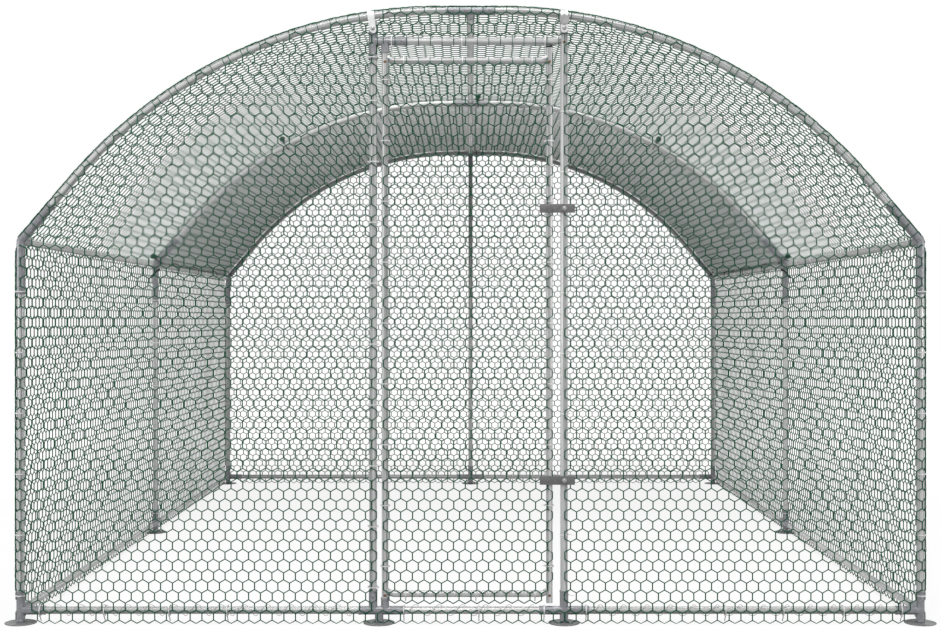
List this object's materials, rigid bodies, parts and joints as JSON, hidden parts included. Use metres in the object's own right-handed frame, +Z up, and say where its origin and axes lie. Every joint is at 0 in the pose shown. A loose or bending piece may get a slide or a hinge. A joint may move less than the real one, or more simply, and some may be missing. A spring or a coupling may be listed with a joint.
{
  "type": "walk-in poultry run",
  "caption": "Walk-in chicken coop of galvanised tubes in sleeve connectors, with a barrel-vault roof, wire netting walls, a hinged netted door with turn latches and a part roof cover.",
  "frame": {"origin": "on the ground, under the middle of the run", "axes": "+X across the run to the right of the door wall seen from outside, +Y from the door wall to the back wall, +Z up"},
  "size_m": [3.105, 4.105, 2.0604],
  "materials": {
    "tube": "galvanised, satin",
    "door_tube": "galvanised, satin",
    "connector": "dull zinc grey",
    "foot": "dull zinc grey",
    "latch": "dull dark zinc",
    "strap": "bright zinc",
    "bolt": "bright zinc",
    "cap": "moulded",
    "netting": "dark green coated wire",
    "cover": "coated woven sheet"
  },
  "bodies": {
    "frame": {"arch_back_left": "tube", "arch_back_right": "tube", "arch_front_left": "tube", "arch_front_right": "tube", "arch_mid_left": "tube", "arch_mid_right": "tube", "back_post": "tube", "base_back_connector": "connector", "base_corner_connectors": "connector", "base_rail_back_left": "tube", "base_rail_back_right": "tube", "base_rail_front_left": "tube", "base_rail_front_right": "tube", "base_rail_left_front": "tube", "base_rail_left_rear": "tube", "base_rail_right_front": "tube", "base_rail_right_rear": "tube", "base_side_connectors": "connector", "bolts": "bolt", "door_header": "tube", "door_sill": "tube", "eave_connectors": "connector", "eave_rail_left_front": "tube", "eave_rail_left_rear": "tube", "eave_rail_right_front": "tube", "eave_rail_right_rear": "tube", "foot_plates": "foot", "hinge_base_connector": "connector", "hinge_header_connector": "connector", "hinge_post": "tube", "latch_base_connector": "connector", "latch_post": "tube", "leg_back_left": "tube", "leg_back_right": "tube", "leg_front_left": "tube", "leg_front_right": "tube", "leg_mid_left": "tube", "leg_mid_right": "tube", "net_back": "netting", "net_front_left": "netting", "net_front_right": "netting", "net_over_door": "netting", "net_roof_front": "netting", "net_roof_rear": "netting", "net_side_left": "netting", "net_side_right": "netting", "net_sill": "netting", "post_straps": "strap", "ridge_connectors": "connector", "ridge_rail_front": "tube", "ridge_rail_rear": "tube", "roof_cover": "cover"},
    "door": {"door_hinge_stile": "door_tube", "door_latch_stile": "door_tube", "door_top_rail": "door_tube", "door_bottom_rail": "door_tube", "stile_cap": "cap", "net_door": "netting"},
    "upper_latch": {"latch_upper": "latch"},
    "lower_latch": {"latch_lower": "latch"}
  },
  "joints": [
    {"name": "door_hinge", "type": "hinge", "parent": "frame", "child": "door", "pos_m": [-0.285, -2, 0], "axis": [0, 0, 1], "range_deg": [0, 110]},
    {"name": "upper_latch_turn", "type": "hinge", "parent": "frame", "child": "upper_latch", "pos_m": [0.312, -2.0185, 1.382], "axis": [0, 1, 0], "range_deg": [0, 90]},
    {"name": "lower_latch_turn", "type": "hinge", "parent": "frame", "child": "lower_latch", "pos_m": [0.312, -2.0185, 0.478], "axis": [0, 1, 0], "range_deg": [0, 90]}
  ]
}
